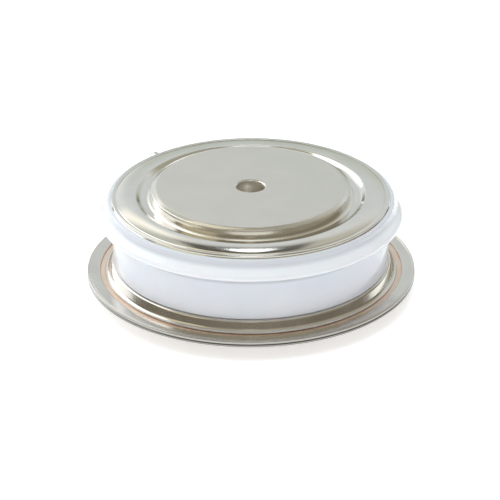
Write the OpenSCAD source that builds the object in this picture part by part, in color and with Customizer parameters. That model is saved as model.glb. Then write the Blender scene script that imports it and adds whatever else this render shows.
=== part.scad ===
// Disc-type controlled power rectifier: a ceramic capsule that is clamped between two heat sinks.
// Two copper contacts are joined to a glazed ceramic ring by thin pressed sheets, and the silicon
// disc between them is reached by a gate terminal at the back. The lower contact's face is z = 0.

/* [Overall] */
// Height over both contact faces
total_h = 14; // [13.5:0.5:20]
// Diameter of the contacts; the ceramic and the flange follow it
pole_d = 25; // [19:0.5:50]

/* [Contacts] */
// Width of the turned edge round each contact face
edge_w = 0.6; // [0.4:0.05:1.2]
// Height of the turned edge
edge_h = 0.26; // [0.2:0.02:0.6]
// Radius where the turned edge runs into the contact's wall
edge_r = 0.1; // [0.05:0.05:0.2]
// Diameter of the locating hole in each face
hole_d = 3.5; // [2:0.1:5]
// Depth of the locating hole
hole_depth = 2; // [1:0.1:2.4]
// Width of the chamfer round the locating hole's mouth
hole_edge = 0.2; // [0.1:0.05:0.4]
// Height of the lower contact's inner face above its outer face
anode_h = 4; // [3.4:0.1:5]
// Width of the upper contact's shoulder, which carries the cap
shoulder_w = 0.9; // [0.6:0.05:1.1]
// Height of that shoulder
shoulder_h = 1.1; // [0.8:0.1:1.5]

/* [Ceramic ring] */
// Thickness of the ceramic's wall
wall = 2.2; // [1.8:0.1:4]
// How far the neck above the bead stands out from the body
neck_out = 0.65; // [0.3:0.05:1]
// How far the bead stands out from the body
bead_out = 1.73; // [1.2:0.05:2.4]
// Depth of the bead's widest line below the top end of the ceramic
bead_down = 2.25; // [2:0.05:3]
// Height from the end of the bead's swelling up to the top end of the ceramic
neck_h = 0.9; // [0.8:0.05:1]
// Radius of the bead's lower edge
bead_r = 0.5; // [0.3:0.05:0.6]
// Height of the bead's underside, which runs in to the body
bead_under = 0.6; // [0.4:0.05:1]
// Radius of the ceramic's end edges
ceramic_edge_r = 0.35; // [0.15:0.05:0.4]

/* [Welded flange] */
// Height of the flange's underside above the lower contact face
flange_z = 2.1; // [1:0.1:2.5]
// Thickness of each of the two flange sheets
flange_t = 0.32; // [0.2:0.02:0.4]
// How far the flange stands out from the ceramic body
rim_w = 3.35; // [3:0.05:5]
// Distance of the weld groove's middle from the flange's edge
weld_in = 2; // [1.6:0.05:2.1]
// Width of the weld groove
weld_w = 0.66; // [0.4:0.02:0.8]
// Depth of the weld groove in each sheet
weld_depth = 0.1; // [0.05:0.01:0.14]
// Height from the flange up to the foot of the ceramic
foot_h = 1.36; // [1.1:0.02:2]
// Height of the lower sheet's ripple
ripple_h = 0.6; // [0.3:0.05:0.7]

/* [Cap] */
// Thickness of the cap's sheet
cap_t = 0.3; // [0.2:0.02:0.36]
// Depth of the cap's crown below the upper contact face
crown_down = 0.95; // [0.8:0.01:1.6]
// Radius of the bend where the crown rounds off towards the lip
crown_bend_r = 4.6; // [2:0.1:5]
// Depth of the moat round the contact, below the crown
moat_depth = 0.45; // [0.2:0.05:0.6]
// Width of the moat's floor
moat_w = 1.35; // [1.2:0.05:1.5]
// Width of the step from the moat up to the crown
step_w = 0.55; // [0.4:0.05:0.7]
// Depth of the cap's lip below the crown
lip_down = 0.3; // [0.2:0.02:0.36]
// Width of the slope from the crown down to the lip
slope_w = 0.9; // [0.8:0.05:1]
// Width of the lip
lip_w = 0.55; // [0.45:0.05:0.7]
// How far the lip stays inside the ceramic's neck
lip_in = 0.6; // [0.4:0.05:0.8]

/* [Silicon stack] */
// How far the silicon disc stands out past the contacts
wafer_out = 1.4; // [1.2:0.1:2]
// Thickness of the silicon disc
wafer_t = 0.4; // [0.3:0.05:0.6]
// Inward bevel of the silicon disc's edge
wafer_bevel = 0.6; // [0.3:0.05:0.8]
// Thickness of the lower molybdenum disc
anode_disc_t = 1.6; // [1.2:0.1:2]
// Thickness of the upper molybdenum disc
cathode_disc_t = 0.75; // [0.5:0.05:1]
// Thickness of each silver foil
foil_t = 0.1; // [0.05:0.01:0.15]
// Room between the silicon disc and the ceramic's bore
bore_room = 1.3; // [1.1:0.1:2]
// Thickness of the rubber over the silicon's edge
coat_t = 0.45; // [0.3:0.05:0.5]

/* [Gate] */
// Direction of the gate terminal, in degrees from +X
gate_angle = 120; // [90:0.5:150]
// Height of the gate terminal above the silicon stack
gate_up = 1.05; // [1:0.05:1.3]
// Diameter of the gate pin's free end
pin_d = 1.5; // [1:0.1:1.6]
// Diameter of the pin's shank, which is sealed in the tube
shank_d = 1.9; // [1.85:0.05:2]
// How far the pin stands out from the ceramic
pin_out = 8.25; // [4:0.05:10]
// How far the pin's shank stands out of the tube
shank_out = 0.3; // [0.1:0.1:1]
// Outer diameter of the tube that seals the pin in the ceramic
tube_d = 2.5; // [2.4:0.05:2.7]
// How far the tube stands out from the ceramic
tube_out = 1.5; // [0.8:0.1:2.5]
// Diameter of the tube's collar
collar_d = 3; // [2.9:0.05:3.2]
// Thickness of the collar
collar_t = 0.4; // [0.3:0.05:0.6]
// Diameter of the gate's chamber in the upper contact
chamber_d = 5.8; // [5.4:0.1:7]
// Depth of that chamber, where the locating hole above leaves room for it
chamber_h = 4.25; // [3.4:0.05:6]
// Diameter of the gate contact's body
contact_d = 3.4; // [2.8:0.1:3.6]
// Diameter of the gate contact's tip
tip_d = 2.4; // [1.6:0.1:2.6]
// Diameter of the gate contact's stem
stem_d = 1.4; // [1:0.1:1.6]
// Diameter of the gate lead
lead_d = 0.5; // [0.4:0.05:0.6]
// Thickness of the gate springs' sheet
spring_t = 0.25; // [0.15:0.01:0.3]
// Thickness of the mica disc over the springs
mica_t = 0.3; // [0.2:0.05:0.4]

/* [Clearances] */
// Gap round a piece that is brazed or soldered in
seat_gap = 0.04; // [0.02:0.01:0.06]
// Gap round a piece that is loose inside the capsule
loose_gap = 0.06; // [0.04:0.01:0.1]

/* [Hidden] */

round_fn = 128;
hole_fn = 64;
bend_steps = 5;
swell_steps = 8;
cut = 1;

// Radii of the sheets' bends
flange_bend_r = 0.3;
foot_bend_r = 0.4;
cap_bend_r = 0.25;

// Width and height of the brazed fillets
braze_w = 0.5;
braze_h = 0.14;

// Radii, from the middle outwards
pole_r = pole_d / 2;
shoulder_r = pole_r + shoulder_w;
wafer_r = pole_r + wafer_out;
bore_r = wafer_r + bore_room;
body_r = bore_r + wall;
neck_r = body_r + neck_out;
bead_out_r = body_r + bead_out;
cap_r = neck_r - lip_in;
flange_r = body_r + rim_w;
weld_r = flange_r - weld_in;
foil_in = 0.2;
foil_r = pole_r - foil_in;
coat_room = 0.3;
ripple_r = bore_r + 0.5;
ripple_slope = 0.4;

// Heights, from the lower contact face upwards
weld_z = flange_z + flange_t;
foot_z = weld_z + flange_t + foot_h;
crown_z = total_h - crown_down;
end_z = crown_z - cap_t;
moat_z = crown_z - moat_depth;
lip_z = crown_z - lip_down;
bead_z = end_z - bead_down;
neck_z = end_z - neck_h;
anode_disc_z = anode_h + foil_t;
wafer_z = anode_disc_z + anode_disc_t;
cathode_disc_z = wafer_z + wafer_t;
cathode_foil_z = cathode_disc_z + cathode_disc_t;
cathode_z = cathode_foil_z + foil_t;

// Where the cap's bends lie, and how far the ceramic's top stays inside them
moat_r = pole_r + moat_w;
crown_r = moat_r + step_w;
lip_r = cap_r - lip_w;
slope_r = lip_r - slope_w;
seat_in = 0.1;

// Gate assembly
gate_z = cathode_z + gate_up;
chamber_web = 0.5;
chamber_top = min(cathode_z + chamber_h, total_h - hole_depth - chamber_web);
mica_z = chamber_top - mica_t;
contact_top = gate_z + lead_d;
contact_base = cathode_z + loose_gap;
spring_count = 4;
spring_h = (mica_z - contact_top) / spring_count;
sleeve_wall = 0.7;
sleeve_r = chamber_d / 2 - loose_gap;
lead_cover = 0.3;
lead_sleeve_d = lead_d + 2 * lead_cover;
slot_room = 0.2;
slot_w = lead_sleeve_d + 2 * slot_room;
slot_top = gate_z + slot_w / 2;
gate_hole_room = 0.5;
gate_hole_d = contact_d + 2 * gate_hole_room;
collar_seat = 0.25;
tube_in = 0.2;
pin_in = 0.4;
pin_inner = bore_r - pin_in;
pin_tip = body_r + pin_out;
shank_end = body_r + tube_out + shank_out;

// Points on a round stretch from angle a to angle b, in equal steps
function arc(centre, r, a, b, steps = bend_steps) =
    [for (i = [0:steps]) centre + r * [cos(a + (b - a) * i / steps), sin(a + (b - a) * i / steps)]];

function unit(v) = v / norm(v);
function left_of(v) = [-v[1], v[0]];
function turn(u, w) = atan2(u[0] * w[1] - u[1] * w[0], u * w);

// Points beside one corner of a sheet's centre line, at the distance side to the left of it
function bend(before, corner, after, radius, side) =
    let (
        u = unit(corner - before),
        w = unit(after - corner),
        angle = turn(u, w),
        way = sign(angle),
        centre = corner - u * radius * tan(abs(angle) / 2) + left_of(u) * radius * way,
        start = atan2(u[1], u[0]) - 90 * way
    )
    arc(centre, radius - side * way, start, start + angle);

// One face of a sheet bent along a path, with a radius for each of its inner points
function sheet_side(path, radii, side) =
    let (
        last = len(path) - 1,
        first_way = left_of(unit(path[1] - path[0])),
        last_way = left_of(unit(path[last] - path[last - 1]))
    )
    concat(
        [path[0] + side * first_way],
        [for (i = [1:last - 1]) each bend(path[i - 1], path[i], path[i + 1], radii[i - 1], side)],
        [path[last] + side * last_way]
    );

function reversed(list) = [for (i = [len(list) - 1:-1:0]) list[i]];

// A pressed sheet of even thickness, turned about the axis, whose middle follows the path. Its bends
// have one radius, or each its own where a list is given.
module pressed_sheet(path, thickness, radius) {
    radii = is_list(radius) ? radius : [for (i = [2:len(path) - 1]) radius];
    rotate_extrude($fn = round_fn)
        polygon(concat(
            sheet_side(path, radii, thickness / 2),
            reversed(sheet_side(path, radii, -thickness / 2))
        ));
}

module turned(points) {
    rotate_extrude($fn = round_fn)
        polygon(points);
}

module disc(radius, z, height) {
    translate([0, 0, z])
        cylinder(r = radius, h = height, $fn = round_fn);
}

// Ring with a square section
module ring(inner, outer, z, height) {
    turned([[inner, z], [outer, z], [outer, z + height], [inner, z + height]]);
}

// Rod that lies along the gate's direction, from one distance off the axis to another
module gate_rod(diameter, from, to) {
    rotate([0, 0, gate_angle])
        translate([from, 0, gate_z])
            rotate([0, 90, 0])
                cylinder(d = diameter, h = to - from, $fn = hole_fn);
}

// Slot for the gate lead, open at the bottom, from the axis out past the radius
module gate_slot(radius) {
    rotate([0, 0, gate_angle])
        translate([0, -slot_w / 2, cathode_z - cut])
            cube([radius + cut, slot_w, slot_top - cathode_z + cut]);
}

// Half outline of a contact's outer face, with its turned edge, for a face that looks down at z = 0
function face_outline() = concat(
    [[0, 0], [pole_r - edge_w, 0]],
    arc([pole_r - edge_r, edge_h], edge_r, -70, 0)
);

// Blind locating hole with a chamfered mouth, for a face that looks down at z = 0
module locating_hole() {
    translate([0, 0, -cut])
        cylinder(d = hole_d, h = hole_depth + cut, $fn = hole_fn);
    translate([0, 0, -cut])
        cylinder(d1 = hole_d + 2 * (hole_edge + cut), d2 = hole_d, h = hole_edge + cut, $fn = hole_fn);
}

// Hollow fillet of braze round a contact, on a face that looks up at the height z, or down if way is -1
module braze_fillet(z, way) {
    foot_r = pole_r + seat_gap / 2;
    turned(concat(
        [[foot_r, z]],
        [for (i = [0:bend_steps])
            [
                foot_r + braze_w * (1 - sin(90 * i / bend_steps)),
                z + way * braze_h * (1 - cos(90 * i / bend_steps))
            ]]
    ));
}

module anode_pole() {
    color("silver")
        difference() {
            turned(concat(
                face_outline(),
                [[pole_r, weld_z], [wafer_r, weld_z], [wafer_r, anode_h], [0, anode_h]]
            ));
            locating_hole();
        }
}

// Weld groove in a flange sheet, cut down from the height z
module weld_groove(z, way) {
    turned([
        [weld_r - weld_w / 2, z + way * cut],
        [weld_r - weld_w / 2, z],
        [weld_r - weld_w / 2 + weld_depth, z - way * weld_depth],
        [weld_r + weld_w / 2 - weld_depth, z - way * weld_depth],
        [weld_r + weld_w / 2, z],
        [weld_r + weld_w / 2, z + way * cut]
    ]);
}

// Lower sheet: from the lower contact out to the edge, with a ripple that lets it flex
module anode_flange() {
    middle = flange_z + flange_t / 2;
    color("gainsboro")
        difference() {
            pressed_sheet([
                [pole_r + seat_gap, middle],
                [ripple_r, middle],
                [ripple_r + ripple_slope, middle + ripple_h],
                [body_r - ripple_slope, middle + ripple_h],
                [body_r, middle],
                [flange_r, middle]
            ], flange_t, flange_bend_r);
            weld_groove(flange_z, -1);
        }
}

module anode_braze() {
    color("silver")
        braze_fillet(flange_z, -1);
}

// Upper sheet: welded to the lower one at the rim and brazed under the foot of the ceramic
module housing_flange() {
    low = weld_z + flange_t / 2;
    high = foot_z - flange_t / 2;
    edge_step = 0.05;
    weld_land = 0.25;
    foot_out = 0.25;
    foot_in = 0.4;
    color("gainsboro")
        difference() {
            pressed_sheet([
                [flange_r - edge_step, low],
                [weld_r - weld_w / 2 - weld_land, low],
                [body_r + foot_out, high],
                [bore_r + foot_in, high]
            ], flange_t, foot_bend_r);
            weld_groove(weld_z + flange_t, 1);
        }
}

// Point on the neck's swelling into the bead, from t = 0 at the bead to t = 1 on the neck
function swell(t) = [
    neck_r + (bead_out_r - neck_r) * (1 + cos(180 * t)) / 2,
    bead_z + (neck_z - bead_z) * t
];

module ceramic_ring() {
    lip_seat_z = lip_z - cap_t;
    under_z = bead_z - bead_r;
    color("white")
        difference() {
            turned(concat(
                [[bore_r, foot_z + ceramic_edge_r / 2], [bore_r + ceramic_edge_r / 2, foot_z]],
                arc([body_r - ceramic_edge_r, foot_z + ceramic_edge_r], ceramic_edge_r, -90, 0),
                arc([body_r + bead_under, under_z - bead_under], bead_under, 180, 100),
                arc([bead_out_r - bead_r, bead_z], bead_r, -80, 0),
                [for (i = [1:swell_steps]) swell(i / swell_steps)],
                arc([neck_r - ceramic_edge_r, lip_seat_z - ceramic_edge_r], ceramic_edge_r, 0, 90),
                [[lip_r - seat_in, lip_seat_z], [slope_r, end_z - seat_in], [bore_r, end_z - seat_gap]]
            ));
            gate_rod(tube_d + 2 * seat_gap, bore_r - cut, body_r + cut);
            gate_rod(collar_d + 2 * seat_gap, body_r - collar_seat, bead_out_r + cut);
        }
}

// Upper sheet: from the upper contact over the end of the ceramic
module cathode_cap() {
    half = cap_t / 2;
    color("gainsboro")
        pressed_sheet([
            [pole_r + seat_gap, moat_z - half],
            [moat_r, moat_z - half],
            [crown_r, crown_z - half],
            [slope_r, crown_z - half],
            [lip_r, lip_z - half],
            [cap_r, lip_z - half]
        ], cap_t, [cap_bend_r, cap_bend_r, crown_bend_r, cap_bend_r]);
}

module cathode_pole() {
    shoulder_z = moat_z - cap_t;
    color("silver")
        difference() {
            union() {
                translate([0, 0, total_h])
                    mirror([0, 0, 1])
                        turned(concat(
                            face_outline(),
                            [[pole_r, total_h - cathode_z], [0, total_h - cathode_z]]
                        ));
                ring(pole_r - cut, shoulder_r, shoulder_z - shoulder_h, shoulder_h);
            }
            translate([0, 0, total_h])
                mirror([0, 0, 1])
                    locating_hole();
            translate([0, 0, cathode_z - cut])
                cylinder(d = chamber_d, h = chamber_top - cathode_z + cut, $fn = hole_fn);
            gate_slot(pole_r);
        }
}

module cathode_braze() {
    color("silver")
        braze_fillet(moat_z, 1);
}

module anode_foil() {
    color("lightgray")
        disc(wafer_r - foil_in, anode_h, foil_t);
}

module anode_disc() {
    color("gray")
        disc(wafer_r, anode_disc_z, anode_disc_t);
}

// The silicon is alloyed to the lower disc, and its edge is bevelled
module silicon_wafer() {
    color("dimgray")
        turned([
            [0, wafer_z],
            [wafer_r, wafer_z],
            [wafer_r - wafer_bevel, cathode_disc_z],
            [0, cathode_disc_z]
        ]);
}

// Rubber that seals the silicon's bevelled edge, from beside the upper disc to round the lower one
module edge_coat() {
    top = cathode_disc_z + coat_t;
    chamfer = 0.2;
    inner = foil_r + coat_room;
    color("white")
        turned(concat(
            [[inner, cathode_disc_z], [wafer_r - wafer_bevel, cathode_disc_z], [wafer_r, wafer_z]],
            arc([wafer_r, wafer_z], coat_t, -90, 45),
            [[inner + chamfer, top], [inner, top - chamfer]]
        ));
}

// Holds the discs in the middle of the ceramic's bore
module centring_ring() {
    base = weld_z + loose_gap;
    top = wafer_z - coat_t - loose_gap;
    color("whitesmoke")
        ring(wafer_r + loose_gap, bore_r - loose_gap, base, top - base);
}

module cathode_disc() {
    color("gray")
        ring(gate_hole_d / 2, foil_r, cathode_disc_z, cathode_disc_t);
}

module cathode_foil() {
    color("lightgray")
        ring(gate_hole_d / 2, foil_r, cathode_foil_z, foil_t);
}

// Presses on the middle of the silicon; the lead is swaged into its side
module gate_contact() {
    stem_top = mica_z - 3 * loose_gap;
    color("silver")
        difference() {
            union() {
                disc(tip_d / 2, cathode_disc_z, contact_base - cathode_disc_z);
                disc(contact_d / 2, contact_base, contact_top - contact_base);
                disc(stem_d / 2, contact_top, stem_top - contact_top);
            }
            gate_rod(lead_d + 2 * seat_gap, stem_d / 2, contact_d);
        }
}

// Coned spring washers, turned over in pairs and counted from the lowest, which is 0
module gate_spring(index) {
    z = contact_top + index * spring_h;
    inner = stem_d / 2 + loose_gap;
    outer = chamber_d / 2 - sleeve_wall - 3 * loose_gap;
    near = index % 2 == 0 ? inner : outer;
    far = index % 2 == 0 ? outer : inner;
    color("darkgray")
        turned([[near, z], [near, z + spring_t], [far, z + spring_h], [far, z + spring_h - spring_t]]);
}

module gate_mica() {
    color("tan")
        disc(sleeve_r, mica_z, mica_t);
}

module gate_sleeve() {
    color("white")
        difference() {
            ring(sleeve_r - sleeve_wall, sleeve_r, contact_base, mica_z - contact_base);
            gate_slot(sleeve_r);
        }
}

module gate_lead() {
    color("silver")
        gate_rod(lead_d, stem_d / 2 + loose_gap, pin_inner + pin_d / 2);
}

module lead_sleeve() {
    color("white")
        difference() {
            gate_rod(lead_sleeve_d, sleeve_r - sleeve_wall, pin_inner - loose_gap);
            gate_rod(lead_d + 2 * loose_gap, 0, pin_inner + cut);
        }
}

module gate_tube() {
    color("silver")
        difference() {
            union() {
                gate_rod(tube_d, bore_r - tube_in, body_r + tube_out);
                gate_rod(collar_d, body_r - collar_seat, body_r - collar_seat + collar_t);
            }
            gate_rod(shank_d + 2 * seat_gap, bore_r - cut, body_r + tube_out + cut);
        }
}

// Pin for a push-on receptacle; its shank stands a little out of the tube
module gate_pin() {
    nose = 0.45;
    color("silver")
        difference() {
            rotate([0, 0, gate_angle])
                translate([0, 0, gate_z])
                    rotate([0, 90, 0])
                        rotate_extrude($fn = hole_fn)
                            polygon(concat(
                                [[0, pin_inner], [shank_d / 2, pin_inner]],
                                [[shank_d / 2, shank_end], [pin_d / 2, shank_end]],
                                arc([pin_d / 2 - nose, pin_tip - nose], nose, 0, 90),
                                [[0, pin_tip]]
                            ));
            gate_rod(lead_d + 2 * seat_gap, pin_inner - cut, pin_inner + pin_d / 2 + loose_gap);
        }
}

anode_pole();
anode_flange();
anode_braze();
housing_flange();
ceramic_ring();
cathode_cap();
cathode_pole();
cathode_braze();
anode_foil();
anode_disc();
silicon_wafer();
edge_coat();
centring_ring();
cathode_disc();
cathode_foil();
gate_contact();
gate_spring(0);  // gate_spring_1
gate_spring(1);  // gate_spring_2
gate_spring(2);  // gate_spring_3
gate_spring(3);  // gate_spring_4
gate_mica();
gate_sleeve();
gate_lead();
lead_sleeve();
gate_tube();
gate_pin();
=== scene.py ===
import math

import bmesh
import bpy
from mathutils import Matrix, Vector


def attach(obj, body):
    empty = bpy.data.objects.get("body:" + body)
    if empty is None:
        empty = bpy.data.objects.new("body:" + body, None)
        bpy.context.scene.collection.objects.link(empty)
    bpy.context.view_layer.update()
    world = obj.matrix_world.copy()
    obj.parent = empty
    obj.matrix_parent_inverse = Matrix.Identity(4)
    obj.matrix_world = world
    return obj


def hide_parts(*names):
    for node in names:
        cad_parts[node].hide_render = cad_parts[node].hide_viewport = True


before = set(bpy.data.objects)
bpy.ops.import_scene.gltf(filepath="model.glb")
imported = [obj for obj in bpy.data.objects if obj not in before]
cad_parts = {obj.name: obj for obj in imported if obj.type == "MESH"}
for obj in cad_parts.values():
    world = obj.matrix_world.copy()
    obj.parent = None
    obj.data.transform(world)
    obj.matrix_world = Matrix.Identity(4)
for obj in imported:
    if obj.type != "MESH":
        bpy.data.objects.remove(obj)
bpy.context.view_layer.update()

# Upper contact. A turned copper slug, nickel plated, with a flat lapped face, a soft turned edge
# round it and a blind locating hole. Its shoulder carries the cap, and its foot holds the gate's
# chamber, with a slot through which the gate lead leaves.
MM = 0.001
SAME_POINT = 0.001 * MM
SPIN_STEPS = 256
CORNER_STEPS = 5
SHARP_ANGLE = math.radians(50)
GRAIN_DEPTH = 0.01 * MM
GATE_ANGLE = math.radians(120)
contact_r = 12.5
contact_top = 14.0
edge_w = 0.6
edge_drop = 0.22
edge_round = 1.0
edge_corner = 0.08
hole_r = 1.75
hole_depth = 2.0
hole_corner = 0.2
hole_chamfer = 0.2
turned_corner = 0.1
shoulder_r = 13.4
shoulder_top = 12.3
shoulder_bottom = 11.2
upper_foot_z = 6.95
upper_foot_corner = 0.15
chamber_r = 2.9
chamber_top = 11.2
slot_w = 1.5
slot_top = 8.75
slot_reach = 15.0
polish = 0.14


def round_corner(bm, corner, radius):
    """Rounds one corner of an outline to a radius."""
    ways = [edge.other_vert(corner).co - corner.co for edge in corner.link_edges]
    reach = radius / math.tan(ways[0].angle(ways[1]) / 2)
    bmesh.ops.bevel(bm, geom=[corner], offset=reach, offset_type="OFFSET", affect="VERTICES",
                    segments=CORNER_STEPS, profile=0.5, material=-1)


def draw_outline(bm, corners, closed):
    """Draws an outline of (radius, height, corner radius), in millimetres, beside the axis."""
    points = [bm.verts.new((r * MM, 0, z * MM)) for r, z, rounding in corners]
    for here, after in zip(points, points[1:] + points[:1] * closed):
        bm.edges.new((here, after))
    for point, (r, z, rounding) in zip(points, corners):
        if rounding:
            round_corner(bm, point, rounding * MM)


def spin_outline(bm, steps=SPIN_STEPS):
    """Turns the outline once round the axis."""
    bmesh.ops.spin(bm, geom=bm.verts[:] + bm.edges[:], cent=(0, 0, 0), axis=(0, 0, 1),
                   angle=math.tau, steps=steps, use_merge=True)
    bmesh.ops.remove_doubles(bm, verts=bm.verts[:], dist=SAME_POINT)


def turned(corners, steps=SPIN_STEPS):
    """The mesh of a turned piece, from its outline. One that starts on the axis also ends there."""
    bm = bmesh.new()
    draw_outline(bm, corners, closed=corners[0][0] > 0)
    spin_outline(bm, steps)
    bmesh.ops.recalc_face_normals(bm, faces=bm.faces[:])
    return bm


def made(name, bm, material, slot, *nodes):
    """Makes a piece of the mesh; it rides on the part and stands for the CAD nodes named."""
    mesh = bpy.data.meshes.new(name)
    bm.to_mesh(mesh)
    bm.free()
    mesh.shade_smooth()
    mesh.set_sharp_from_angle(angle=SHARP_ANGLE)
    mesh.materials.append(material)
    piece = bpy.data.objects.new(name, mesh)
    bpy.context.scene.collection.objects.link(piece)
    flat = piece.modifiers.new("flat faces stay flat", "WEIGHTED_NORMAL")
    flat.keep_sharp = True
    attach(piece, "root")
    if nodes:
        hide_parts(*nodes)
    return piece


def cut_away(piece, shape, **sizes):
    """Cuts a simple shape out of a piece, given by the operator that makes it and its sizes."""
    bm = bmesh.new()
    shape(bm, **sizes)
    mesh = bpy.data.meshes.new("cutter")
    bm.to_mesh(mesh)
    bm.free()
    cutter = bpy.data.objects.new("cutter", mesh)
    bpy.context.scene.collection.objects.link(cutter)
    cut = piece.modifiers.new("cut", "BOOLEAN")
    cut.object = cutter
    cut.solver = "EXACT"
    with bpy.context.temp_override(object=piece):
        bpy.ops.object.modifier_move_to_index(modifier="cut", index=0)
        bpy.ops.object.modifier_apply(modifier="cut")
    piece.data.set_sharp_from_angle(angle=SHARP_ANGLE)
    bpy.data.objects.remove(cutter)
    bpy.data.meshes.remove(mesh)


def add(tree, kind, output=0, operation=None, **inputs):
    """Adds a node and returns its output. An input is a value or another node's output."""
    node = tree.nodes.new("ShaderNode" + kind)
    if operation:
        node.operation = operation
    for name, value in inputs.items():
        key = int(name[1:]) if name[1:].isdigit() else name.replace("_", " ")
        if isinstance(value, bpy.types.NodeSocket):
            tree.links.new(value, node.inputs[key])
        else:
            node.inputs[key].default_value = value
    return node.outputs[output]


def blank(name, **constants):
    """A new material; returns it with its tree, its shader's inputs and the place on the object."""
    material = bpy.data.materials.new(name)
    material.use_nodes = True
    tree = material.node_tree
    inputs = tree.nodes["Principled BSDF"].inputs
    for key, value in constants.items():
        inputs[key.replace("_", " ")].default_value = value
    return material, tree, inputs, add(tree, "TexCoord", output="Object")


def noise(tree, place, scale, detail):
    """Soft noise, mostly from 0.3 to 0.7."""
    return add(tree, "TexNoise", output="Fac", Vector=place, Scale=scale, Detail=detail)


def spread(tree, value, low, high):
    """Spreads a value of 0.3 to 0.7, as noise gives, over another range."""
    return add(tree, "MapRange", Value=value, From_Min=0.3, From_Max=0.7, To_Min=low, To_Max=high)


def fade(tree, length, start, end, low=0, high=1):
    """A value that goes from low to high as a length goes from start to end, in millimetres."""
    return add(tree, "MapRange", Value=length, From_Min=start * MM, From_Max=end * MM,
               To_Min=low, To_Max=high)


def gap_from(tree, value, middle):
    """How far a value is from a middle one, to either side."""
    gap = add(tree, "Math", operation="SUBTRACT", i0=value, i1=middle)
    return add(tree, "Math", operation="ABSOLUTE", i0=gap)


def between(tree, value, low, high):
    """A mix of two colours by a value from 0 to 1."""
    node = tree.nodes.new("ShaderNodeMix")
    node.data_type = "RGBA"
    tree.links.new(value, node.inputs["Factor"])
    for key, colour in (("A", low), ("B", high)):
        socket = [s for s in node.inputs if s.name == key and s.type == "RGBA"][0]
        if isinstance(colour, bpy.types.NodeSocket):
            tree.links.new(colour, socket)
        else:
            socket.default_value = (*colour, 1)
    return [s for s in node.outputs if s.type == "RGBA"][0]


def round_axis(tree, place):
    """Distance from the axis, a place that is the same all round it, and the height."""
    split = tree.nodes.new("ShaderNodeSeparateXYZ")
    tree.links.new(place, split.inputs[0])
    level = add(tree, "CombineXYZ", X=split.outputs["X"], Y=split.outputs["Y"])
    away = add(tree, "VectorMath", output="Value", operation="LENGTH", i0=level)
    return away, add(tree, "CombineXYZ", X=away, Y=split.outputs["Z"]), split.outputs["Z"]


def cloud(tree, inputs, clouds, light, dark, rough):
    """Lets clouds run through a material's tint and gloss."""
    tree.links.new(between(tree, spread(tree, clouds, 0, 1), dark, light), inputs["Base Color"])
    tree.links.new(spread(tree, clouds, *rough), inputs["Roughness"])


def worked_metal(name, light, dark, rough, grain, turning):
    """A metal with faint clouds, a fine grain and marks from turning; returns its nodes too."""
    material, tree, inputs, place = blank(name, Metallic=1)
    away, along, height = round_axis(tree, place)
    cloud(tree, inputs, noise(tree, place, scale=220, detail=4), light, dark, rough)
    marks = noise(tree, along, scale=4200, detail=3)
    pits = noise(tree, place, scale=3600, detail=2)
    ground = add(tree, "Bump", Strength=turning, Distance=GRAIN_DEPTH, Height=marks)
    bump = add(tree, "Bump", Strength=grain, Distance=GRAIN_DEPTH, Height=pits, Normal=ground)
    tree.links.new(bump, inputs["Normal"])
    return material, tree, inputs, away, height


def lapped_nickel():
    """Nickel plate that is dull on the lapped faces and bright on the turned edge and wall."""
    material, tree, inputs, away, height = worked_metal(
        "contact nickel", light=(0.755, 0.725, 0.675), dark=(0.705, 0.675, 0.625),
        rough=(0.30, 0.38), grain=0.3, turning=0.15)
    dull = inputs["Roughness"].links[0].from_socket
    half = contact_top / 2
    face = fade(tree, gap_from(tree, height, half * MM), half - 0.06, half - 0.01, polish, dull)
    bore = fade(tree, away, hole_r, hole_r + 0.02, dull, face)
    tree.links.new(bore, inputs["Roughness"])
    return material


def contact_face(z, way):
    """The outline from the locating hole over a contact's face at height z to its turned edge. The
    metal is above the face (1) or below it (-1)."""
    return [
        (0, z + way * hole_depth, 0),
        (hole_r, z + way * hole_depth, hole_corner),
        (hole_r, z + way * hole_chamfer, 0),
        (hole_r + hole_chamfer, z, 0),
        (contact_r - edge_w, z, edge_round),
        (contact_r, z + way * edge_drop, edge_corner),
    ]


contact_nickel = lapped_nickel()

upper_contact = made("upper_contact", turned([
    *contact_face(contact_top, -1),
    (contact_r, shoulder_top, 0),
    (shoulder_r, shoulder_top, turned_corner),
    (shoulder_r, shoulder_bottom, turned_corner),
    (contact_r, shoulder_bottom, turned_corner),
    (contact_r, upper_foot_z, upper_foot_corner),
    (chamber_r, upper_foot_z, 0),
    (chamber_r, chamber_top, 0),
    (0, chamber_top, 0),
]), contact_nickel, "plated_contact", "cathode_pole")
slot_h = 2 * (slot_top - upper_foot_z)
slot_place = (Matrix.Rotation(GATE_ANGLE, 4, "Z")
              @ Matrix.Translation((slot_reach / 2 * MM, 0, upper_foot_z * MM))
              @ Matrix.Diagonal((slot_reach * MM, slot_w * MM, slot_h * MM, 1)))
cut_away(upper_contact, bmesh.ops.create_cube, size=1, matrix=slot_place)

# Cap. A thin pressed sheet, nickel plated, brazed round the upper contact and over the ceramic. A
# moat runs round the contact, then the sheet steps up to a crown that falls away gently outwards
# and ends in a lower lip on the ceramic's shoulder.
cap_t = 0.3
cap_r = 17.45
seam_gap = 0.04
moat_z = 12.6
moat_out = 13.85
crown_in = 14.4
crown_z = 13.05
crown_edge = 15.1
slope_in = 16.2
slope_z = 12.95
slope_out = 16.8
slope_low = 12.82
lip_in = 16.93
lip_z = 12.75
edge_break = 0.09


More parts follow.
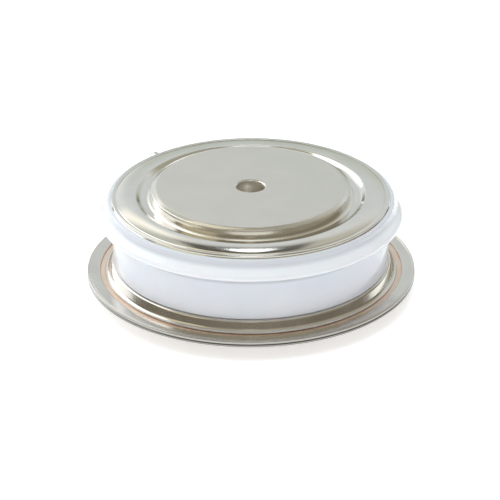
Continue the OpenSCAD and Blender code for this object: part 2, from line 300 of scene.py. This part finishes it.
def pressed(path, thickness):
    """The mesh of a pressed sheet, from the path of its upper face, which runs outwards."""
    bm = bmesh.new()
    draw_outline(bm, path, closed=False)
    spin_outline(bm)
    bmesh.ops.recalc_face_normals(bm, faces=bm.faces[:])
    if sum(face.normal.z for face in bm.faces) < 0:
        bmesh.ops.reverse_faces(bm, faces=bm.faces[:])
    bmesh.ops.solidify(bm, geom=bm.faces[:], thickness=thickness * MM)
    bmesh.ops.recalc_face_normals(bm, faces=bm.faces[:])
    return bm


def break_edges(bm, radius):
    """Rounds the two sharp edges that run round a sheet where it was blanked, at a radius."""
    edges = [edge for edge in bm.edges
             if all(abs(v.co.xy.length - radius * MM) < 5 * SAME_POINT for v in edge.verts)
             and abs(edge.verts[0].co.z - edge.verts[1].co.z) < SAME_POINT]
    bmesh.ops.bevel(bm, geom=edges, offset=edge_break * MM, offset_type="OFFSET",
                    affect="EDGES", segments=3, profile=0.5, material=-1)


def metal(name, **look):
    """A worked metal, for pieces that need no more nodes."""
    return worked_metal(name, **look)[0]


cap_sheet = pressed([
    (contact_r + seam_gap, moat_z, 0),
    (moat_out, moat_z, 0.5),
    (crown_in, crown_z, 0.3),
    (crown_edge, crown_z, 12),
    (slope_in, slope_z, 6.5),
    (slope_out, slope_low, 0.8),
    (lip_in, lip_z, 0.2),
    (cap_r, lip_z, 0),
], cap_t)
break_edges(cap_sheet, cap_r)
sheet_nickel = metal("sheet nickel", light=(0.75, 0.72, 0.66), dark=(0.69, 0.655, 0.595),
                     rough=(0.07, 0.11), grain=0.16, turning=0.1)
made("cap", cap_sheet, sheet_nickel, "plated_sheet", "cathode_cap")

# Brazed seams. A ring of silver solder, melted in the furnace, that has run into a low collar where
# each sheet meets its contact.
bite = 0.01
braze_rise = 0.13
braze_crest = 0.25
braze_toe = 0.47
braze_reach = 0.5
flange_z = 2.1

silver = metal("silver braze", light=(0.84, 0.81, 0.74), dark=(0.76, 0.72, 0.64),
               rough=(0.18, 0.34), grain=0.6, turning=0)


def brazed_seam(name, z, way, node):
    """A collar round the contact, on the sheet at height z, standing up (1) or hanging (-1)."""
    made(name, turned([
        (contact_r - bite, z + way * (braze_rise + bite), 0),
        (contact_r + braze_crest, z + way * braze_rise, 0.12),
        (contact_r + braze_toe, z + way * bite, 0.1),
        (contact_r + braze_reach, z, 0),
        (contact_r - bite, z, 0),
    ]), silver, "braze", node)


brazed_seam("upper_seam", moat_z, 1, "cathode_braze")
brazed_seam("lower_seam", flange_z, -1, "anode_braze")

# Ceramic ring. Pressed and fired alumina with a white glaze outside: a straight body, a bead that
# lengthens the path for stray current, and a neck that sweeps up to the cap.
bore_r = 15.2
body_r = 17.4
neck_r = 18.05
bead_r = 19.13
foot_z = 4.10
bead_low = 9.98
bead_high = 10.73
neck_low = 11.58
ceramic_top = 12.71
neck_top = 12.45
lip_room = 0.06
cap_room = 0.05


def glaze():
    """White glaze, faintly blue, whiter on the bead as painted light, with painted shade under the
    bead and on the neck.
    """
    material, tree, inputs, place = blank(
        "white glaze", IOR=1.5, Subsurface_Weight=0.15, Subsurface_Scale=0.6 * MM,
        Coat_Weight=0.3, Coat_Roughness=0.04)
    cloud(tree, inputs, noise(tree, place, scale=160, detail=3),
          light=(0.83, 0.85, 0.93), dark=(0.79, 0.815, 0.905), rough=(0.12, 0.2))
    tint = inputs["Base Color"].links[0].from_socket
    height = round_axis(tree, place)[2]
    # Painted shade greys the body under the bead, painted light whitens the bead's upper face, and
    # painted shade greys the neck under the cap's lip.
    shade_under_bead = fade(tree, height, bead_low - 1.1, bead_low - 0.75)
    light_on_bead = fade(tree, height, bead_low + 0.08, bead_low + 0.3)
    shade_on_neck = fade(tree, height, neck_low - 0.25, neck_low + 0.2)
    for zone, colour in ((shade_under_bead, (0.55, 0.57, 0.625)), (light_on_bead, (0.87, 0.89, 0.95)),
                         (shade_on_neck, (0.68, 0.70, 0.765))):
        tint = between(tree, zone, tint, colour)
    tree.links.new(tint, inputs["Base Color"])
    waves = noise(tree, place, scale=700, detail=2)
    bump = add(tree, "Bump", Strength=0.1, Distance=2 * GRAIN_DEPTH, Height=waves)
    tree.links.new(bump, inputs["Normal"])
    return material


ceramic = made("ceramic", turned([
    (bore_r, foot_z, 0.15),
    (body_r, foot_z, 0.3),
    (body_r, bead_low - 0.02, 0.5),
    (bead_r, bead_low, 0.45),
    (bead_r, bead_high, 1.0),
    (neck_r, neck_low, 1.2),
    (neck_r, neck_top, 0.35),
    (lip_in - lip_room, neck_top, 0),
    (slope_in, slope_z - cap_t - cap_room, 0),
    (bore_r, ceramic_top, 0),
]), glaze(), "ceramic", "ceramic_ring")

# Rim. Two thin pressed sheets, nickel plated over copper, cold welded in a groove that shows the
# copper. The upper one curves up to the foot of the ceramic and has a fine line near its edge, and
# the lower one runs in to the lower contact with a ripple that lets it flex.
sheet_t = 0.32
rim_r = 20.75
top_rim_r = 20.70
rim_rise = 0.1
lower_top = 2.42
upper_top = 2.74
weld_in = 18.42
weld_out = 19.08
weld_depth = 0.12
weld_side = 0.03
cove_r = 17.99
cove = 0.58
line_r = 20.4
line_w = 0.05
line_depth = 0.035
line_rise = 0.08
line_lift = 0.002
ripple_in = bore_r + 0.5
ripple_out = body_r
ripple_slope = 0.4
ripple_h = 0.6
sheet_bend = 0.3


def rim_nickel():
    """Nickel plate, worn to the copper in the groove and stained beside it, with painted shade on
    its cut outer edge.
    """
    material, tree, inputs, away, _ = worked_metal(
        "rim nickel", light=(0.715, 0.68, 0.62), dark=(0.645, 0.61, 0.55),
        rough=(0.12, 0.18), grain=0.25, turning=0.15)
    tint = inputs["Base Color"].links[0].from_socket
    smooth = inputs["Roughness"].links[0].from_socket
    worn = noise(tree, add(tree, "TexCoord", output="Object"), scale=420, detail=3)
    half = (weld_out - weld_in) / 2
    off = gap_from(tree, away, (weld_in + half) * MM)
    stain = fade(tree, off, half, half + 0.5, 0.8, 0)
    floor = fade(tree, off, half - 0.06, half, 1, 0)
    floor = add(tree, "Math", operation="MULTIPLY", i0=floor, i1=spread(tree, worn, 0.55, 1))
    side = fade(tree, gap_from(tree, off, half * MM), 0.01, 0.06, 1, 0)
    side = add(tree, "Math", operation="MULTIPLY", i0=side, i1=spread(tree, worn, 0.5, 1))
    # Painted shade: the cut outer edge of each sheet is tinted dark grey where it would catch the
    # floor's light.
    cut = fade(tree, away, rim_r - 0.14, rim_r)
    for mask, colour in ((stain, (0.72, 0.65, 0.575)), (floor, (0.96, 0.76, 0.62)),
                         (side, (0.41, 0.27, 0.195)), (cut, (0.29, 0.28, 0.265))):
        tint = between(tree, mask, tint, colour)
    tree.links.new(tint, inputs["Base Color"])
    rough = add(tree, "MapRange", Value=floor, To_Min=smooth, To_Max=0.52)
    tree.links.new(rough, inputs["Roughness"])
    return material


def weld_land(z):
    """The path of a sheet's upper face over the land that is welded."""
    return [(r, z, 0) for r in (weld_in, weld_in + weld_side, weld_out - weld_side, weld_out)]


def press_groove(bm, z, way):
    """Sinks the middle of the land on the face at height z, downwards (-1) or upwards (1)."""
    floor = [v for v in bm.verts if abs(v.co.z - z * MM) < 10 * SAME_POINT
             and (weld_in + weld_side / 2) * MM < v.co.xy.length < (weld_out - weld_side / 2) * MM]
    bmesh.ops.translate(bm, verts=floor, vec=(0, 0, way * weld_depth * MM))


weld_nickel = rim_nickel()

top_sheet = pressed([
    (bore_r + 0.4, foot_z, 0),
    (body_r + 0.15, foot_z, 0.36),
    (cove_r, upper_top, cove),
    *weld_land(upper_top),
    (line_r - line_w, upper_top + line_rise - line_lift, 0),
    (line_r, upper_top + line_rise - line_depth, 0),
    (line_r + line_w, upper_top + line_rise + line_lift, 0),
    (top_rim_r, upper_top + rim_rise, 0),
], sheet_t)
press_groove(top_sheet, upper_top, -1)
break_edges(top_sheet, top_rim_r)
made("rim_top_sheet", top_sheet, weld_nickel, "plated_sheet", "housing_flange")

bottom_sheet = pressed([
    (contact_r + seam_gap, lower_top, 0),
    (ripple_in, lower_top, sheet_bend),
    (ripple_in + ripple_slope, lower_top + ripple_h, sheet_bend),
    (ripple_out - ripple_slope, lower_top + ripple_h, sheet_bend),
    (ripple_out, lower_top, sheet_bend),
    *weld_land(lower_top),
    (rim_r, lower_top, 0),
], sheet_t)
press_groove(bottom_sheet, lower_top - sheet_t, 1)
break_edges(bottom_sheet, rim_r)
made("rim_bottom_sheet", bottom_sheet, weld_nickel, "plated_sheet", "anode_flange")

# Lower contact. The same slug without the gate's chamber: its wider foot inside the capsule carries
# the silicon, and its face below has the same edge and locating hole.
foot_r = 13.9
foot_top = 4.0
made("lower_contact", turned([
    *contact_face(0, 1),
    (contact_r, lower_top, 0),
    (foot_r, lower_top, turned_corner),
    (foot_r, foot_top, turned_corner),
    (0, foot_top, 0),
]), contact_nickel, "plated_contact", "anode_pole")

# Silicon stack. The silicon disc is alloyed to a molybdenum disc, and a second one presses on it
# from above, with soft silver foils against the contacts. Rubber cast over the silicon's edge seals
# it, and a plastic ring keeps the stack in the middle.


def finish(material, *nodes):
    """Gives a material to CAD nodes that are shown as they are."""
    for node in nodes:
        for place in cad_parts[node].material_slots:
            place.material = material


def moulded(name, light, dark, rough, grain, **constants):
    """A cast or moulded material: clouds in its tint and gloss, and a fine grain."""
    material, tree, inputs, place = blank(name, **constants)
    cloud(tree, inputs, noise(tree, place, scale=500, detail=4), light, dark, rough)
    pits = noise(tree, place, scale=6000, detail=2)
    bump = add(tree, "Bump", Strength=grain, Distance=2 * GRAIN_DEPTH, Height=pits)
    tree.links.new(bump, inputs["Normal"])
    return material


finish(metal("silver foil", light=(0.88, 0.86, 0.82), dark=(0.78, 0.76, 0.71),
             rough=(0.2, 0.4), grain=0.9, turning=0), "anode_foil", "cathode_foil")
finish(metal("lapped molybdenum", light=(0.42, 0.42, 0.43), dark=(0.35, 0.35, 0.36),
             rough=(0.32, 0.45), grain=0.4, turning=0.6), "anode_disc", "cathode_disc")
finish(metal("polished silicon", light=(0.12, 0.13, 0.17), dark=(0.09, 0.10, 0.13),
             rough=(0.08, 0.14), grain=0.1, turning=0.1), "silicon_wafer")
finish(moulded("cast rubber", light=(0.80, 0.79, 0.75), dark=(0.74, 0.72, 0.68),
               rough=(0.5, 0.65), grain=0.3, Subsurface_Weight=0.2,
               Subsurface_Scale=0.4 * MM), "edge_coat")
finish(moulded("turned plastic", light=(0.86, 0.86, 0.83), dark=(0.81, 0.81, 0.78),
               rough=(0.35, 0.5), grain=0.5, Subsurface_Weight=0.3,
               Subsurface_Scale=0.5 * MM), "centring_ring", "gate_sleeve", "lead_sleeve")

# Gate spring. Four coned washers of tempered steel, stacked over the turned silver plunger that
# touches the middle of the silicon, press against a mica disc in the upper contact's chamber.
finish(metal("tempered steel", light=(0.40, 0.33, 0.24), dark=(0.27, 0.26, 0.29),
             rough=(0.22, 0.36), grain=0.4, turning=0.3),
       "gate_spring_1", "gate_spring_2", "gate_spring_3", "gate_spring_4")
finish(metal("drawn silver", light=(0.86, 0.84, 0.80), dark=(0.77, 0.75, 0.70),
             rough=(0.18, 0.3), grain=0.3, turning=0.4), "gate_contact", "gate_lead")
finish(moulded("mica", light=(0.56, 0.44, 0.27), dark=(0.42, 0.31, 0.17),
               rough=(0.12, 0.3), grain=0.6, Coat_Weight=0.4), "gate_mica")

# Gate terminal. A nickel-plated tube with a collar is brazed through the ceramic, and the turned
# gate pin is soldered in it. The pin's end is rounded for a push-on receptacle.
TERMINAL_STEPS = 64
gate_z = 8.0
tube_r = 1.25
tube_bore_r = 0.99
tube_inner = 15.0
tube_outer = 18.9
collar_r = 1.5
collar_inner = 17.15
collar_outer = 17.55
seal_gap = 0.04
cutter_past = 1
pin_r = 0.75
pin_inner = 14.8
pin_tip = 25.65
pin_rounding = 0.45
shank_r = 0.95
shank_outer = 19.2
lead_hole_r = 0.29
lead_hole_end = 15.6
solder_deep = 0.5
solder_low = 0.12
solder_high = 0.02
collar_braze_low = 0.13
collar_braze_high = 0.19
gate_place = (Matrix.Translation((0, 0, gate_z * MM)) @ Matrix.Rotation(GATE_ANGLE, 4, "Z")
              @ Matrix.Rotation(math.radians(90), 4, "Y"))


def along_gate(corners):
    """The mesh of a turned piece that lies along the gate; heights are distances off the axis."""
    bm = turned(corners, TERMINAL_STEPS)
    bmesh.ops.transform(bm, matrix=gate_place, verts=bm.verts[:])
    return bm


def bore_ceramic(radius, inner, outer):
    """Bores the ceramic along the gate, from one distance off the axis to another."""
    middle = Matrix.Translation((0, 0, (inner + outer) / 2 * MM))
    cut_away(ceramic, bmesh.ops.create_cone, cap_ends=True, segments=TERMINAL_STEPS,
             radius1=radius * MM, radius2=radius * MM, depth=(outer - inner) * MM,
             matrix=gate_place @ middle)


bore_ceramic(tube_r + seal_gap, bore_r - cutter_past, body_r + cutter_past)
bore_ceramic(collar_r + seal_gap, collar_inner, bead_r + cutter_past)

pin_nickel = metal("pin nickel", light=(0.74, 0.72, 0.68), dark=(0.68, 0.66, 0.62),
                   rough=(0.16, 0.24), grain=0.2, turning=0)

made("terminal_tube", along_gate([
    (tube_bore_r, tube_inner, 0.04),
    (tube_r, tube_inner, 0.06),
    (tube_r, collar_inner, 0),
    (collar_r, collar_inner, 0.06),
    (collar_r, collar_outer, 0.1),
    (tube_r, collar_outer, 0.08),
    (tube_r, tube_outer, 0.08),
    (tube_bore_r, tube_outer, 0.08),
]), pin_nickel, "seal_tube", "gate_tube")
made("terminal_pin", along_gate([
    (0, lead_hole_end, 0),
    (lead_hole_r, lead_hole_end, 0),
    (lead_hole_r, pin_inner, 0.04),
    (shank_r, pin_inner, 0.1),
    (shank_r, shank_outer, 0.12),
    (pin_r, shank_outer, 0.06),
    (pin_r, pin_tip, pin_rounding),
    (0, pin_tip, 0),
]), pin_nickel, "plated_pin", "gate_pin")
made("terminal_solder", along_gate([
    (shank_r - bite, tube_outer - solder_deep, 0),
    (tube_bore_r + bite, tube_outer - solder_deep, 0),
    (tube_bore_r + bite, tube_outer - solder_low, 0),
    (shank_r - bite, tube_outer - solder_high, 0),
]), silver, "braze")
made("terminal_collar_braze", along_gate([
    (collar_r - bite, collar_inner, 0),
    (collar_r + seal_gap + bite, collar_inner, 0),
    (collar_r + seal_gap + bite, collar_inner + collar_braze_low, 0),
    (collar_r - bite, collar_inner + collar_braze_high, 0),
]), silver, "braze")

# Floor and backdrop. A plain white board under the part. It lies a hair below the lower contact, so
# that the two faces don't share one plane.
floor_size = 1.5
floor_gap = 0.01
floor_bm = bmesh.new()
bmesh.ops.create_grid(floor_bm, x_segments=1, y_segments=1, size=floor_size,
                      matrix=Matrix.Translation((0, 0, -floor_gap * MM)))
floor_mesh = bpy.data.meshes.new("floor")
floor_bm.to_mesh(floor_mesh)
floor_bm.free()
floor_mesh.materials.append(blank(
    "white board", Roughness=0.9, Base_Color=(0.95, 0.95, 0.95, 1),
    Emission_Color=(0.97, 1, 1.05, 1), Emission_Strength=0.42)[0])
floor = bpy.data.objects.new("floor", floor_mesh)
bpy.context.scene.collection.objects.link(floor)

# Light. A dim tent of pale cloth, with a bright wall behind the part and a dark gap above the wall.
# In it stand a large soft box and two warm cards at the left, a round lamp behind, a card and a
# small lamp in front, a soft top light, and two lamps that fill the ceramic but not the metal.
tent = bpy.data.worlds.new("tent")
tent.use_nodes = True
tree = tent.node_tree
split = tree.nodes.new("ShaderNodeSeparateXYZ")
tree.links.new(add(tree, "TexCoord", output="Generated"), split.inputs[0])
x, y, z = (split.outputs[axis] for axis in "XYZ")


def ramp(value, start, end):
    """Rises from 0 to 1 as part of the direction, of length 1, goes from start to end."""
    return add(tree, "MapRange", Value=value, From_Min=start, From_Max=end)


# The gap over the wall is dark in its middle and paler at its sides.
left = ramp(x, -0.035, -0.08)
gap_side = add(tree, "Math", operation="MULTIPLY_ADD", i0=z, i1=-0.3, i2=gap_from(tree, x, -0.01))
gap = between(tree, left, (0.62, 0.62, 0.56), (0.66, 0.68, 0.64))
gap = between(tree, ramp(gap_side, -0.115, -0.085), (0.11, 0.11, 0.095), gap)

# The wall is darker at its foot and whiter at the left, and its upper edge is bright.
wall_edge = between(tree, left, (0.82, 0.86, 0.88), (1.4, 1.42, 1.36))
wall = between(tree, ramp(z, 0.3, 0.45), (0.64, 0.70, 0.67), (0.77, 0.83, 0.88))
wall = between(tree, ramp(x, -0.1, -0.2), wall, (0.92, 0.97, 1.0))
wall = between(tree, ramp(z, 0.05, 0.2), (0.25, 0.25, 0.21), wall)
wall = between(tree, ramp(z, 0.46, 0.5), wall, wall_edge)
wall = between(tree, ramp(z, 0.53, 0.62), wall, gap)

# The cloth is paler towards the top, and the wall stands behind the part.
cloth = between(tree, ramp(z, 0.2, 0.45), (0.20, 0.18, 0.145), (0.36, 0.335, 0.28))
cloth = between(tree, ramp(z, 0.45, 0.6), cloth, (0.46, 0.45, 0.38))
cloth = between(tree, ramp(y, 0.45, 0.62), cloth, wall)
tree.links.new(cloth, tree.nodes["Background"].inputs["Color"])
bpy.context.scene.world = tent


def soft_box(name, azimuth, elevation, distance, size, radiance, colour=(0.93, 1.0, 1.08), roll=0):
    """A soft light that faces the part from a direction, rolled about its own line of sight."""
    lamp = bpy.data.lights.new(name, "AREA")
    lamp.shape = "RECTANGLE"
    lamp.size, lamp.size_y = size
    lamp.energy = radiance * math.pi * size[0] * size[1]
    lamp.color = colour
    box = bpy.data.objects.new(name, lamp)
    bpy.context.scene.collection.objects.link(box)
    a, e = math.radians(azimuth), math.radians(elevation)
    way = Vector((math.cos(a) * math.cos(e), math.sin(a) * math.cos(e), math.sin(e)))
    box.location = distance * way
    turn = way.to_track_quat("Z", "Y").to_matrix() @ Matrix.Rotation(math.radians(roll), 3, "Z")
    box.rotation_euler = turn.to_euler()
    return box


soft_box("left box", 148, 30, 0.8, (0.62, 0.95), radiance=1.4, colour=(0.94, 1.0, 1.08), roll=-25)
strip = soft_box("strip", 90, 44.5, 0.7, (0.052, 0.12), radiance=2.4)
strip.data.shape = "ELLIPSE"
soft_box("warm card", 118, 62, 0.7, (0.22, 0.2), radiance=0.5, colour=(1.0, 0.95, 0.74))
soft_box("golden card", 207, 34, 0.8, (0.6, 0.34), radiance=0.42, colour=(1.0, 0.94, 0.66))
soft_box("front card", -91, 27, 1.0, (0.14, 0.2), radiance=0.3, colour=(1.0, 0.96, 0.94))
soft_box("front lamp", -90, 56, 0.65, (0.14, 0.11), radiance=0.35)
soft_box("top box", 90, 89, 0.6, (0.2, 0.2), radiance=0.9)
for fill in (soft_box("overhead fill", -90, 80, 0.6, (0.5, 0.5), radiance=2.3),
             soft_box("front fill", -90, 45, 0.65, (0.5, 0.3), radiance=0.3)):
    fill.visible_glossy = False

# Camera. It looks down on the part from the front through a long lens, aimed at the rim and then
# turned a hair about its own axes.
EYE_ELEVATION = math.radians(26.67)
EYE_DISTANCE = 0.4
PAN = math.radians(0.017)
TILT = math.radians(0.377)
ROLL = math.radians(-0.231)
camera_data = bpy.data.cameras.new("camera")
camera_data.sensor_width = 36
camera_data.lens = 227.0
camera_data.clip_start = 0.01
camera = bpy.data.objects.new("camera", camera_data)
bpy.context.scene.collection.objects.link(camera)
aim = Vector((0, 0, flange_z * MM))
eye = aim + EYE_DISTANCE * Vector((0, -math.cos(EYE_ELEVATION), math.sin(EYE_ELEVATION)))
camera.matrix_world = (Matrix.Translation(eye)
                       @ Matrix.Rotation(math.radians(90) - EYE_ELEVATION, 4, "X")
                       @ Matrix.Rotation(PAN, 4, "Y")
                       @ Matrix.Rotation(TILT, 4, "X")
                       @ Matrix.Rotation(ROLL, 4, "Z"))
bpy.context.scene.camera = camera
bpy.context.scene.view_settings.view_transform = "Standard"
